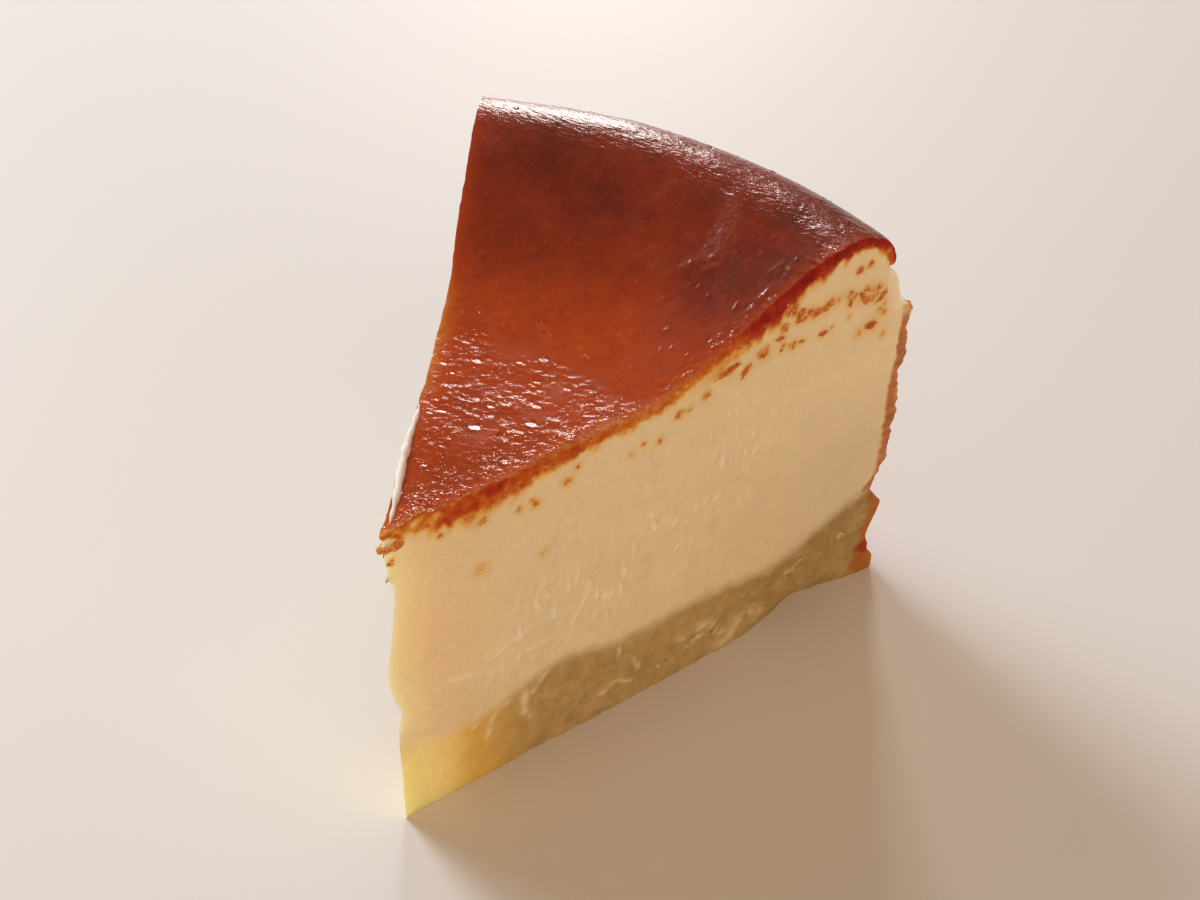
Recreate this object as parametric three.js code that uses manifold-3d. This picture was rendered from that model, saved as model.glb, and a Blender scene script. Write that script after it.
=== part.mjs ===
// A slice of basque cheesecake: baked cream with a browned top skin, on a thin base layer.
// The whole round cake is turned about its axis, made as uneven as baking leaves it, and then
// cut by a wedge whose two faces wander a little, as a knife does in soft food.
// Units are millimetres, +Z is up, and the tip of the slice points to -Y.
import * as THREE from "three";
import { mergeVertices } from "three/addons/utils/BufferGeometryUtils.js";
import { ImprovedNoise } from "three/addons/math/ImprovedNoise.js";
import Module from "manifold-3d";

// Driving dimensions of the whole cake
const CAKE_RADIUS = 75;
const CENTRE_HEIGHT = 49.6;
const CREST_HEIGHT = 60.7;
const CREST_RADIUS = 64;
const DISH_RADIUS = 33;
const SLICE_ANGLE = THREE.MathUtils.degToRad(48);

// The skin turns down over the shoulder and ends in a torn lip
const LIP_RADIUS = 71.2;
const LIP_HEIGHT = 55;
const LIP_UNDERCUT = 0.9;
const LIP_THICKNESS = 0.7;

// Pale cream bulges between the lip and the top edge of the side crust
const CREAM_BAND_RADIUS = 71.9;
const CREAM_BAND_HEIGHT = 51.6;
const CRUST_TOP_HEIGHT = 46.6;
const CRUST_FOOT_HEIGHT = 22;
const CRUST_TAPER = 0.4;

// The base layer, which rises where it meets the side of the tin
const BASE_HEIGHT = 12.3;
const BASE_EDGE_HEIGHT = 16.6;
const BASE_RISE_RADIUS = 58;
const SEAM_RADIUS = 72.4;
const BASE_BULGE_HEIGHT = 12.8;
const BASE_WAIST_RADIUS = 73;
const BASE_WAIST_HEIGHT = 8;
const BASE_FOOT_HEIGHT = 2.4;
const BASE_FOOT_RADIUS = CAKE_RADIUS - 0.3;
const LAYER_GAP = 0.3;

// How uneven the baked cake is, each with the depth and the length of its waves
const CRAG = { depth: 0.7, across: 4.5, up: 5.5, inside: 68 };
const TOP_SWELL = { depth: 0.35, length: 16 };
const SEAM_WAVE = { depth: 1.2, length: 13, reach: 10 };

// How the knife wanders, and how the soft tip drags behind it
const FACE_WAVE = { depth: 0.35, length: 12 };
const TIP_DENT = { depth: 1.2, height: 39, spread: 4.5 };
const TIP_BULGE = { depth: 1.1, height: 27, spread: 4 };
const TIP_NOTCH = { depth: 0.9, height: 19.5, spread: 1.8 };
const TIP_REACH = 4;
// A bite of crumb is missing under the right-hand cut, near the rim
const CHIP = { depth: 2.2, radius: 63, spread: 6.5, height: 4.5 };

// Fineness of the faceted surfaces
const LATHE_SEGMENTS = 150;
const TOP_STEP = 3;
const SEAM_STEP = 5;
const SHOULDER_STEPS = 7;
const SIDE_STEP = 1.8;
const CUT_STEP = 3;
const KNIFE_BELOW = 4;
const KNIFE_ABOVE = 70;
const KNIFE_REACH = 95;

const wasm = await Module();
wasm.setup();
const perlin = new ImprovedNoise();

const smooth = THREE.MathUtils.smoothstep;
const hump = (value, { height, spread }) => Math.exp(-(((value - height) / spread) ** 2));

// Height of the cake's top at a radius: a flat dish that climbs to the crest near the rim.
function topHeight(radius) {
  return CENTRE_HEIGHT + (CREST_HEIGHT - CENTRE_HEIGHT) * smooth(radius, DISH_RADIUS, CREST_RADIUS);
}

// Height of the seam between base and cream at a radius, before baking makes it wavy.
function seamHeight(radius) {
  return BASE_HEIGHT + (BASE_EDGE_HEIGHT - BASE_HEIGHT) * smooth(radius, BASE_RISE_RADIUS, SEAM_RADIUS);
}

// Points of a height function from one radius to another, evenly stepped, ends included.
function radialPoints(heightAt, from, to, step) {
  const count = Math.round(Math.abs(to - from) / step);
  return Array.from({ length: count + 1 }, (_, i) => {
    const radius = THREE.MathUtils.lerp(from, to, i / count);
    return new THREE.Vector2(radius, heightAt(radius));
  });
}

// A smooth side wall through a few (radius, height) places, stepped finely enough for its crags.
function wallPoints(places) {
  const curve = new THREE.SplineCurve(places.map(([radius, height]) => new THREE.Vector2(radius, height)));
  return curve.getSpacedPoints(Math.round(curve.getLength() / SIDE_STEP));
}

// The shoulder: a quarter ellipse from the lip up to the crest.
function shoulderPoints() {
  const arc = new THREE.EllipseCurve(
    CREST_RADIUS,
    LIP_HEIGHT,
    LIP_RADIUS - CREST_RADIUS,
    CREST_HEIGHT - LIP_HEIGHT,
    0,
    Math.PI / 2,
  );
  return arc.getPoints(SHOULDER_STEPS);
}

// Half section of the cream: along the seam, up the crusted side, over the shoulder, into the dish.
function creamSection() {
  const floor = (radius) => seamHeight(radius) + LAYER_GAP;
  const wall = [
    [SEAM_RADIUS, floor(SEAM_RADIUS)],
    [CAKE_RADIUS - CRUST_TAPER, CRUST_FOOT_HEIGHT],
    [CAKE_RADIUS, (CRUST_FOOT_HEIGHT + CRUST_TOP_HEIGHT) / 2],
    [CAKE_RADIUS, CRUST_TOP_HEIGHT],
    [CREAM_BAND_RADIUS, CREAM_BAND_HEIGHT],
    [LIP_RADIUS - LIP_UNDERCUT, LIP_HEIGHT - LIP_THICKNESS],
  ];
  return [
    ...radialPoints(floor, 0, SEAM_RADIUS, SEAM_STEP).slice(0, -1),
    ...wallPoints(wall),
    ...shoulderPoints(),
    ...radialPoints(topHeight, CREST_RADIUS, 0, TOP_STEP).slice(1),
  ];
}

// Half section of the base layer: flat underneath, a browned waisted edge, and the seam on top.
function baseSection() {
  const wall = [
    [BASE_FOOT_RADIUS, 0],
    [CAKE_RADIUS, BASE_FOOT_HEIGHT],
    [BASE_WAIST_RADIUS, BASE_WAIST_HEIGHT],
    [BASE_FOOT_RADIUS, BASE_BULGE_HEIGHT],
    [SEAM_RADIUS, seamHeight(SEAM_RADIUS)],
  ];
  return [
    new THREE.Vector2(0, 0),
    ...wallPoints(wall),
    ...radialPoints(seamHeight, SEAM_RADIUS, 0, SEAM_STEP).slice(1),
  ];
}

// Moves every vertex of a geometry by a function that changes the given Vector3.
function displace(geometry, move) {
  const positions = geometry.attributes.position;
  const point = new THREE.Vector3();
  for (let i = 0; i < positions.count; i++) {
    move(point.fromBufferAttribute(positions, i));
    positions.setXYZ(i, point.x, point.y, point.z);
  }
  return geometry;
}

// What baking does: crags push the rim in, the seam waves, and the top swells and sinks.
function bakeUnevenly(point) {
  const { x, y, z } = point;
  const radius = Math.hypot(x, y);
  const atRim = smooth(radius, CRAG.inside, LIP_RADIUS) * smooth(z, 0, BASE_FOOT_HEIGHT);
  const crag = perlin.noise(x / CRAG.across, y / CRAG.across, z / CRAG.up) - 0.5;
  const nearSeam = Math.max(0, 1 - Math.abs(z - BASE_HEIGHT) / SEAM_WAVE.reach);
  const nearTop = smooth(z, BASE_EDGE_HEIGHT + SEAM_WAVE.reach, CENTRE_HEIGHT);
  const seam = perlin.noise(x / SEAM_WAVE.length, y / SEAM_WAVE.length, 2.5);
  const swell = perlin.noise(x / TOP_SWELL.length, y / TOP_SWELL.length, 7.5);
  const scale = radius > 0 ? 1 + (CRAG.depth * crag * atRim) / radius : 1;
  const rise = SEAM_WAVE.depth * seam * nearSeam + TOP_SWELL.depth * swell * nearTop;
  point.set(x * scale, y * scale, z + (z > 0 ? rise : 0));
}

// How far the tip of the slice stands back from the cake's axis at a height.
function tipSetback(z) {
  const dent = TIP_DENT.depth * hump(z, TIP_DENT);
  const bulge = TIP_BULGE.depth * hump(z, TIP_BULGE);
  const notch = TIP_NOTCH.depth * hump(z, TIP_NOTCH);
  return dent - bulge + notch;
}

// How the knife wanders: the tip drags, both faces wave, and the right face lost a bite of crumb.
function wanderKnife(point) {
  const { x, y, z } = point;
  const radius = Math.hypot(x, y);
  const side = Math.sign(x);
  const nearTip = Math.exp(-((radius / TIP_REACH) ** 2));
  const wave = perlin.noise(radius / FACE_WAVE.length, z / FACE_WAVE.length, side * 3.5);
  const bite = side > 0 ? hump(radius, { height: CHIP.radius, spread: CHIP.spread }) : 0;
  const chipped = CHIP.depth * bite * (1 - smooth(z, 0, CHIP.height));
  const out = side * side * (FACE_WAVE.depth * wave * (1 - nearTip) - chipped);
  const halfAngle = SLICE_ANGLE / 2;
  point.x += side * Math.cos(halfAngle) * out;
  point.y += tipSetback(z) * nearTip - Math.sin(halfAngle) * out;
}

// The wedge that the knife leaves, as an extruded outline with fine steps along both cuts.
function knifeWedge() {
  const halfAngle = SLICE_ANGLE / 2;
  const steps = Math.round((CAKE_RADIUS + CUT_STEP) / CUT_STEP);
  const radii = Array.from({ length: steps }, (_, i) => (i + 1) * CUT_STEP).concat(KNIFE_REACH);
  const cut = (side) =>
    radii.map((radius) => new THREE.Vector2(side * radius * Math.sin(halfAngle), radius * Math.cos(halfAngle)));
  const outline = new THREE.Shape([new THREE.Vector2(0, 0), ...cut(1), ...cut(-1).reverse()]);
  const depth = KNIFE_BELOW + KNIFE_ABOVE;
  const wedge = new THREE.ExtrudeGeometry(outline, {
    depth,
    steps: Math.round(depth / CUT_STEP),
    bevelEnabled: false,
  });
  return displace(wedge.translate(0, 0, -KNIFE_BELOW), wanderKnife);
}

// A whole round layer of the cake: its half section turned about the axis, then baked.
function bakedLayer(section) {
  const turned = new THREE.LatheGeometry(section, LATHE_SEGMENTS).rotateX(Math.PI / 2);
  return displace(turned, bakeUnevenly);
}

// A closed geometry as a solid, with shared vertices merged and collapsed triangles dropped.
function solidFrom(geometry) {
  geometry.deleteAttribute("normal");
  geometry.deleteAttribute("uv");
  const merged = mergeVertices(geometry, 1e-3);
  const triangles = [];
  for (let i = 0; i < merged.index.count; i += 3) {
    const [a, b, c] = merged.index.array.subarray(i, i + 3);
    if (a !== b && b !== c && c !== a) triangles.push(a, b, c);
  }
  const vertProperties = merged.attributes.position.array;
  const triVerts = Uint32Array.from(triangles);
  return new wasm.Manifold(new wasm.Mesh({ numProp: 3, vertProperties, triVerts }));
}

// A solid as a named mesh with a finish of its own.
function meshFrom(solid, name, finish) {
  const { vertProperties, triVerts } = solid.getMesh();
  const geometry = new THREE.BufferGeometry();
  geometry.setAttribute("position", new THREE.BufferAttribute(vertProperties, 3));
  geometry.setIndex(new THREE.BufferAttribute(triVerts, 1));
  geometry.computeVertexNormals();
  const mesh = new THREE.Mesh(geometry, new THREE.MeshStandardMaterial(finish));
  mesh.name = name;
  return mesh;
}

const wedge = solidFrom(knifeWedge());
const cream = solidFrom(bakedLayer(creamSection())).intersect(wedge);
const base = solidFrom(bakedLayer(baseSection())).intersect(wedge);

// The cake's axis runs through the tip, so the slice is moved back by half its length,
// which leaves the origin under the middle of its outline.
const slice = new THREE.Group();
slice.name = "basque_cheesecake_slice";
slice.position.y = -(CAKE_RADIUS - TIP_BULGE.depth) / 2;
slice.add(
  meshFrom(cream, "cheesecake", { color: 0xe8cf9c, roughness: 0.5, metalness: 0 }),
  meshFrom(base, "base_layer", { color: 0xc9a860, roughness: 0.8, metalness: 0 }),
);

export default slice;
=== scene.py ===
# A slice of basque cheesecake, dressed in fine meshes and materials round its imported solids.
# Lengths are in millimetres until a mesh is made. The cake's axis runs up through the tip of the slice:
# radius is measured from it, and turn goes from -1 at the left cut to +1 at the right cut.
import itertools

import bpy
import numpy as np
from mathutils import Matrix, Vector


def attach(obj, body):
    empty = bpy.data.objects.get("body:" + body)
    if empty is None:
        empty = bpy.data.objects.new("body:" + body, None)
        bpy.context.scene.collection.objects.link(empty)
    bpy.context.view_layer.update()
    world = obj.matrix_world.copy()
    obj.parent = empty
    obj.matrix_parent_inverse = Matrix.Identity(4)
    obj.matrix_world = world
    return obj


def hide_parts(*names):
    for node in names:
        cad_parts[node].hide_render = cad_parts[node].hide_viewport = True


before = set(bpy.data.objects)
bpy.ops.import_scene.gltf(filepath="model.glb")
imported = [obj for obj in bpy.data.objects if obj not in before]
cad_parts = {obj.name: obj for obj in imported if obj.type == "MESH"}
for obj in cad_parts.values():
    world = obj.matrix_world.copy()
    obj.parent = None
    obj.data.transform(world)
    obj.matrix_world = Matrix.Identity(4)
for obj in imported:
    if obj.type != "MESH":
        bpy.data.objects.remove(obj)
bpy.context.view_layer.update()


# The base layer
# A dense, moist crumb pressed into the tin and baked under the cream. It rises where it met the tin's side,
# its outer edge is browned into two bulges with a waist between, and the knife left a rough cut and a chip.
MM = 0.001
CAKE_RADIUS = 75.0
HALF_ANGLE = np.radians(24.0)
TIP_BULGE = 1.1
AXIS_Y = (TIP_BULGE - CAKE_RADIUS) / 2
TIP_REACH = 4.0
# Dents and bulges of the edge at the tip: height, spread and how far each sets it back
TIP_DENTS = [(39.0, 4.5, 1.2), (19.5, 1.8, 0.9), (27.0, 4.0, -TIP_BULGE), (42.3, 0.6, -0.7)]
FACE_WAVE = 0.35
FACE_WAVE_LENGTH = 12.0
CUT_REACH = 0.8
CHIP_DEPTH = 2.2
CHIP_RADIUS = 63.0
CHIP_SPREAD = 6.5
CHIP_HEIGHT = 4.5

BASE_HEIGHT = 12.3
BASE_EDGE_HEIGHT = 16.6
BASE_RISE_RADIUS = 58.0
SEAM_RADIUS = 72.4
BASE_FOOT_RADIUS = 74.7
# The base's side from its foot upwards: radius and height
BASE_WALL = [
    (BASE_FOOT_RADIUS, 0.0),
    (CAKE_RADIUS, 2.4),
    (73.0, 8.0),
    (74.7, 12.8),
    (SEAM_RADIUS, BASE_EDGE_HEIGHT),
]
BASE_COLUMNS = 260
BASE_ROWS = 44
BASE_TURNS = 130
BASE_PULL_RADIUS = 62.0
WAIST_HEIGHT = 5.3
# How far the browned edge reaches in at its two bulges and at the waist: height, spread and reach
BROWNED_REACH = [(1.8, 2.8, 3.4), (12.8, 2.8, 1.2), (WAIST_HEIGHT, 1.4, 1.4)]
NEAR_CUT = 0.9
CRAG_REACH = 1.5
STRAND_HEIGHT = 0.18
PALE_LUMP_HEIGHT = 0.32
# Layers of noise: depth, size of the lumps and seed of each
BASE_CRAGS = [(0.45, (4.0, 4.0, 3.0), 21), (0.18, 1.4, 22)]
BASE_CRAG_DROP = 0.18
BASE_CRUMB = [(0.22, 3.6, 23), (0.12, 1.3, 24), (0.06, 0.7, 25)]
SEAM_BLUR = [(0.5, (2.4, 2.4, 4.0), 26), (0.15, 0.8, 29)]

# Swells of the seam along the right cut: radius, spread and rise of each
SEAM_SWELLS = [(0.0, 3.0, 1.3), (10.0, 5.0, -1.2), (23.0, 6.0, 2.0), (55.0, 4.5, -1.2)]
SEAM_WAVE = 1.0
SEAM_WAVE_LENGTH = 13.0

NOISE_CELLS = 32
NOISE_GAIN = 1.5
SPAN_STEPS = 40
LINE_STEPS = 16
LID_STEP = 10
CUT_CROWDING = 0.25
SHARP_ANGLE = np.radians(70.0)


def smoothstep(value, low, high):
    """0 below low and 1 above high, with the cubic 3t^2 - 2t^3 between them."""
    share = np.clip((value - low) / (high - low), 0.0, 1.0)
    return share * share * (3.0 - 2.0 * share)


def hump(value, middle, spread):
    """A bell of height 1: exp(-((value - middle) / spread)^2)."""
    return np.exp(-(((value - middle) / spread) ** 2))


def humps(value, bells):
    """The sum of bells, each given by its middle, its spread and its height."""
    return sum(high * hump(value, middle, spread) for middle, spread, high in bells)


def grain(points, size, seed):
    """Gradient noise from about -1 to 1, with lumps of the given size. Seeded random slopes sit on the
    corners of a lattice, and each point blends the eight round it by the quintic 6t^5 - 15t^4 + 10t^3."""
    slopes = np.random.default_rng(seed).normal(size=(NOISE_CELLS, NOISE_CELLS, NOISE_CELLS, 3))
    slopes /= np.linalg.norm(slopes, axis=-1, keepdims=True)
    scaled = points / np.asarray(size, float)
    cell = np.floor(scaled).astype(int)
    inside = scaled - cell
    fade = inside**3 * (inside * (inside * 6.0 - 15.0) + 10.0)
    total = np.zeros(points.shape[:-1])
    for corner in itertools.product((0, 1), repeat=3):
        at = np.moveaxis((cell + corner) % NOISE_CELLS, -1, 0)
        weight = np.where(corner, fade, 1.0 - fade).prod(axis=-1)
        total += weight * (slopes[tuple(at)] * (inside - corner)).sum(axis=-1)
    return NOISE_GAIN * total


def layered(points, layers):
    """The sum of layers of noise, each given by its depth, the size of its lumps and its seed."""
    return sum(depth * grain(points, size, seed) for depth, size, seed in layers)


def at_shares(line, shares):
    """Points of a polyline at the given shares of its length."""
    steps = np.linalg.norm(np.diff(line, axis=0), axis=1)
    length = np.concatenate([[0.0], np.cumsum(steps)])
    wanted = np.asarray(shares) * length[-1]
    return np.stack([np.interp(wanted, length, line[:, axis]) for axis in range(line.shape[1])], axis=-1)


def smooth_line(places, shares):
    """Points at shares of the length of a smooth line through a few places. Each span is the cubic whose
    slope at a place is half the step between that place's neighbours."""
    places = np.array(places, float)
    ends = np.vstack([2 * places[0] - places[1], places, 2 * places[-1] - places[-2]])
    t = np.linspace(0.0, 1.0, SPAN_STEPS)[:, None]
    spans = [
        b + 0.5 * t * (c - a + t * (2 * a - 5 * b + 4 * c - d + t * (3 * b - a - 3 * c + d)))
        for a, b, c, d in zip(ends, ends[1:], ends[2:], ends[3:])
    ]
    return at_shares(np.vstack(spans), shares)


def seam_height(radius):
    """Level of the seam between base and cream: flat, with a smooth step up towards the rim."""
    rise = smoothstep(radius, BASE_RISE_RADIUS, SEAM_RADIUS)
    return BASE_HEIGHT + (BASE_EDGE_HEIGHT - BASE_HEIGHT) * rise


def seam_wave(radius, turn):
    """How far the seam departs from its level: slow noise, and instead a few swells at the right cut."""
    angle = turn * HALF_ANGLE
    flat = np.stack([radius * np.sin(angle), radius * np.cos(angle), 0 * radius], axis=-1)
    right = smoothstep(turn, 0.3, 1.0)
    slow = SEAM_WAVE * grain(flat, SEAM_WAVE_LENGTH, 3)
    return slow * (1 - right) + humps(radius, SEAM_SWELLS) * right


# Strands of cream dragged down over the base, and pale lumps near the chip, on the right cut: each is a
# line of places, as radius and height, and its half width
CREAM_STRANDS = [
    ([(13.7, 14.6), (11.7, 12.4), (10.4, 10.2)], 0.44),
    ([(15.5, 11.9), (13.1, 10.4), (12.1, 7.2)], 0.44),
    ([(17.7, 11.6), (17.4, 9.0), (18.4, 7.0)], 0.62),
    ([(21.1, 13.6), (18.9, 11.4)], 0.55),
]
PALE_LUMPS = [
    ([(45.0, 6.9), (46.6, 6.0)], 1.0),
    ([(48.0, 1.4), (49.6, 1.0)], 1.0),
    ([(50.1, 2.2), (51.0, 3.9), (52.7, 4.6), (54.3, 4.0), (54.5, 2.7)], 0.95),
    ([(47.5, 4.2), (48.6, 3.2)], 0.6),
    ([(29.0, 4.3), (31.1, 5.2), (33.5, 3.8)], 0.45),
    ([(34.1, 7.4), (35.0, 5.4)], 0.40),
    ([(31.7, 11.2), (31.5, 9.4)], 0.30),
    ([(41.0, 7.0), (42.0, 6.2)], 0.45),
    ([(59.0, 8.4), (60.0, 8.5)], 0.4),
    ([(55.0, 10.4), (55.9, 10.1)], 0.4),
]


def along_lines(radius, height, lines):
    """1 along a few lines on a cut, fading as a bell of each line's half width with the distance to it."""
    most = 0 * radius
    for places, width in lines:
        line = smooth_line(places, np.linspace(0.0, 1.0, LINE_STEPS))
        gap = np.hypot(radius[:, None] - line[:, 0], height[:, None] - line[:, 1]).min(axis=1)
        most = np.maximum(most, hump(gap, 0.0, width))
    return most


def creamed_share(above_seam, solid):
    """Share of cream in the blurred seam: a step over three millimetres, made uneven by noise."""
    return smoothstep(above_seam + layered(solid, SEAM_BLUR), -1.6, 1.5)


def tip_share(radius, solid):
    """Share of the see-through tip: 1 at the axis, fading to 0 by 22 millimetres."""
    return 1 - smoothstep(radius + 1.2 * grain(solid, 4.0, 28), 2.0, 22.0)


def tip_setback(height):
    """How far the tip stands back from the axis: two dents, less a bulge past the axis and a small nub."""
    return humps(height, TIP_DENTS)


def knife_wander(radius, height, turn):
    """How far a cut bows outwards: slow noise, of its own on each side and none at the tip, less the chip
    that is missing under the right cut."""
    face = np.stack([radius, height, 40.0 * np.sign(turn)], axis=-1)
    wave = FACE_WAVE * grain(face, FACE_WAVE_LENGTH, 11) * (1 - hump(radius, 0.0, TIP_REACH))
    low = 1 - smoothstep(height, 0.0, CHIP_HEIGHT)
    chip = CHIP_DEPTH * hump(radius, CHIP_RADIUS, CHIP_SPREAD) * low
    return wave - chip * (turn > 0)


def place(radius, height, turn, out):
    """Turns section points about the cake's axis and sets the tip back. out moves a point square to the
    nearer cut, and fades with the distance from that cut."""
    angle = turn * HALF_ANGLE
    near = np.exp(-(1 - np.abs(turn)) * HALF_ANGLE * radius / CUT_REACH)
    across = radius * np.sin(angle) + turn * np.cos(HALF_ANGLE) * out * near
    along = radius * np.cos(angle) - np.abs(turn) * np.sin(HALF_ANGLE) * out * near
    drag = tip_setback(height) * hump(radius, 0.0, TIP_REACH)
    return np.stack([across, along + drag + AXIS_Y, height], axis=-1)


def section(bottom, top, wall, rows, pull):
    """Fills a half section with columns from a bottom line to a top line. Near the rim pull rises to 1, and
    there the columns are drawn out until the last one is the wall."""
    share = rows[None, :, None]
    columns = bottom[:, None] * (1 - share) + top[:, None] * share
    return columns + pull[:, None, None] * (wall - columns[-1])


def quads(numbers, flip):
    """The cells of a grid of vertex numbers as quads, turned over where flip is true."""
    corners = [numbers[:-1, :-1], numbers[1:, :-1], numbers[1:, 1:], numbers[:-1, 1:]]
    return np.stack(corners[::-1] if flip else corners, axis=-1).reshape(-1, 4).tolist()


def tip_fan(numbers, flip):
    """A grid whose first line is one point: triangles round that point, then quads."""
    corners = [numbers[0, :-1], numbers[1, :-1], numbers[1, 1:]]
    fan = np.stack(corners[::-1] if flip else corners, axis=-1).tolist()
    return fan + quads(numbers[1:], flip)


def slice_block(columns, turns, rows, below_from, above_from):
    """The skin of a block of cells bent into a slice: columns run from the tip to the rim, turns from the
    left cut to the right, crowding towards both, and rows upwards. The tip is one edge. The underside and
    the top are full grids from the given columns outwards. Nearer the tip they are hidden and have only
    every tenth turn. Gives the column, turn from -1 to 1 and row of each point, and the faces."""
    shape = (columns + 1, turns + 1, rows + 1)
    column, turn, row = np.indices(shape)
    shown = (column == columns) | (turn == 0) | (turn == turns)
    shown |= (row == 0) & ((column >= below_from) | (turn % LID_STEP == 0))
    shown |= (row == rows) & ((column >= above_from) | (turn % LID_STEP == 0))
    shown &= (column > 0) | (turn == 0)
    number = np.cumsum(shown).reshape(shape) - 1
    number[0] = number[0, :1]
    faces = quads(number[:, -1], False) + quads(number[:, 0], True) + quads(number[-1], True)
    for level, grid_from, flip in ((0, below_from, False), (-1, above_from, True)):
        lid = number[:, :, level]
        if grid_from == 0:
            faces += tip_fan(lid, flip)
            continue
        faces += tip_fan(lid[: grid_from + 1, ::LID_STEP], flip)
        starts = range(0, turns, LID_STEP)
        arcs = [lid[grid_from, start : start + LID_STEP + 1].tolist() for start in starts]
        faces += [arc[::-1] if flip else arc for arc in arcs]
        faces += quads(lid[grid_from:], flip)
    across = 2.0 * turn[shown] / turns - 1.0
    crowded = across * (1 + CUT_CROWDING - CUT_CROWDING * across**2)
    return column[shown], crowded, row[shown], faces


def add_object(name, data):
    """Makes an object and puts it into the scene."""
    made = bpy.data.objects.new(name, data)
    bpy.context.scene.collection.objects.link(made)
    return made


def make_piece(name, points, faces, material, **values):
    """Makes a smooth-shaded object from points in millimetres, with named values stored at its points."""
    mesh = bpy.data.meshes.new(name)
    mesh.from_pydata((points * MM).tolist(), [], faces)
    for key, value in values.items():
        stored = mesh.attributes.new(key, "FLOAT", "POINT")
        stored.data.foreach_set("value", value.astype(np.float32).ravel())
    mesh.shade_smooth()
    mesh.set_sharp_from_angle(angle=SHARP_ANGLE)
    mesh.materials.append(material)
    piece = add_object(name, mesh)
    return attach(piece, "root")


def new_material(name):
    """An empty node material."""
    material = bpy.data.materials.new(name)
    material.use_nodes = True
    material.node_tree.nodes.clear()
    return material


def add(material, kind, inputs, **settings):
    """Adds a node. settings are its own properties, and each input is a number or another node's output."""
    node = material.node_tree.nodes.new(kind)
    for key, value in settings.items():
        setattr(node, key, value)
    for key, value in inputs.items():
        if isinstance(value, bpy.types.NodeSocket):
            material.node_tree.links.new(value, node.inputs[key])
        else:
            node.inputs[key].default_value = value
    return node


def value_of(material, name):
    """A value stored at the piece's points."""
    return add(material, "ShaderNodeAttribute", {}, attribute_name=name).outputs["Fac"]


def speckle(material, size, detail=2.0, stretch=(1.0, 1.0, 1.0)):
    """Noise from 0 to 1 on Object coordinates, with lumps of the given size in millimetres."""
    where = add(material, "ShaderNodeTexCoord", {}).outputs["Object"]
    mapped = add(material, "ShaderNodeMapping", {"Vector": where, "Scale": stretch}).outputs["Vector"]
    noise = {"Vector": mapped, "Scale": 1.0 / (size * MM), "Detail": detail, "Roughness": 0.55}
    return add(material, "ShaderNodeTexNoise", noise).outputs["Fac"]


def sum_of(material, value, factor, offset):
    """value times factor plus offset, where each may be a number or an output."""
    inputs = {0: value, 1: factor, 2: offset}
    return add(material, "ShaderNodeMath", inputs, operation="MULTIPLY_ADD").outputs["Value"]


def ramp(material, factor, stops):
    """Colours along a factor, each stop with its place from 0 to 1 and its linear colour."""
    node = add(material, "ShaderNodeValToRGB", {"Fac": factor})
    elements = node.color_ramp.elements
    while len(elements) < len(stops):
        elements.new(1.0)
    for element, (position, colour) in zip(elements, stops):
        element.position = position
        element.color = (*colour, 1.0)
    return node.outputs["Color"]


def blend(material, factor, first, second):
    """Mixes two colours by a factor."""
    inputs = {0: factor, 6: first, 7: second}
    return add(material, "ShaderNodeMix", inputs, data_type="RGBA").outputs[2]


def bump(material, height, depth, normal=None):
    """Relief of the given depth in millimetres from a height of 0 to 1, on top of any other relief."""
    inputs = {"Height": height, "Distance": depth * MM, "Strength": 1.0}
    if normal is not None:
        inputs["Normal"] = normal
    return add(material, "ShaderNodeBump", inputs).outputs["Normal"]


def surface(material, inputs):
    """Ends a material in a Principled shader."""
    shader = add(material, "ShaderNodeBsdfPrincipled", inputs)
    add(material, "ShaderNodeOutputMaterial", {"Surface": shader.outputs["BSDF"]})
    return material


CREAM = (0.868, 0.727, 0.468)
KHAKI_DARK = (0.36, 0.24, 0.09)
KHAKI = (0.47, 0.33, 0.138)
KHAKI_PALE = (0.58, 0.44, 0.21)
# Colours of the painted glow at the thin tip, where light shines through the crumb
TIP_GLOW_YELLOW = (1.0, 0.84, 0.36)
TIP_GLOW_AMBER = (0.82, 0.52, 0.11)
BAKED_ORANGE = (0.43, 0.158, 0.030)
BAKED_RED = (0.32, 0.040, 0.007)


def painted_tip_glow(material, crumb):
    """The crumb's colour, which turns to amber and pale yellow at the tip, where light shines through."""
    # Painted glow: the amber and yellow stand for light shining through the thin tip
    tip = value_of(material, "tip")
    amber = ramp(material, tip, [(0.62, TIP_GLOW_AMBER), (0.97, TIP_GLOW_YELLOW)])
    return blend(material, sum_of(material, tip, 1.35, 0.0), crumb, amber)


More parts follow.
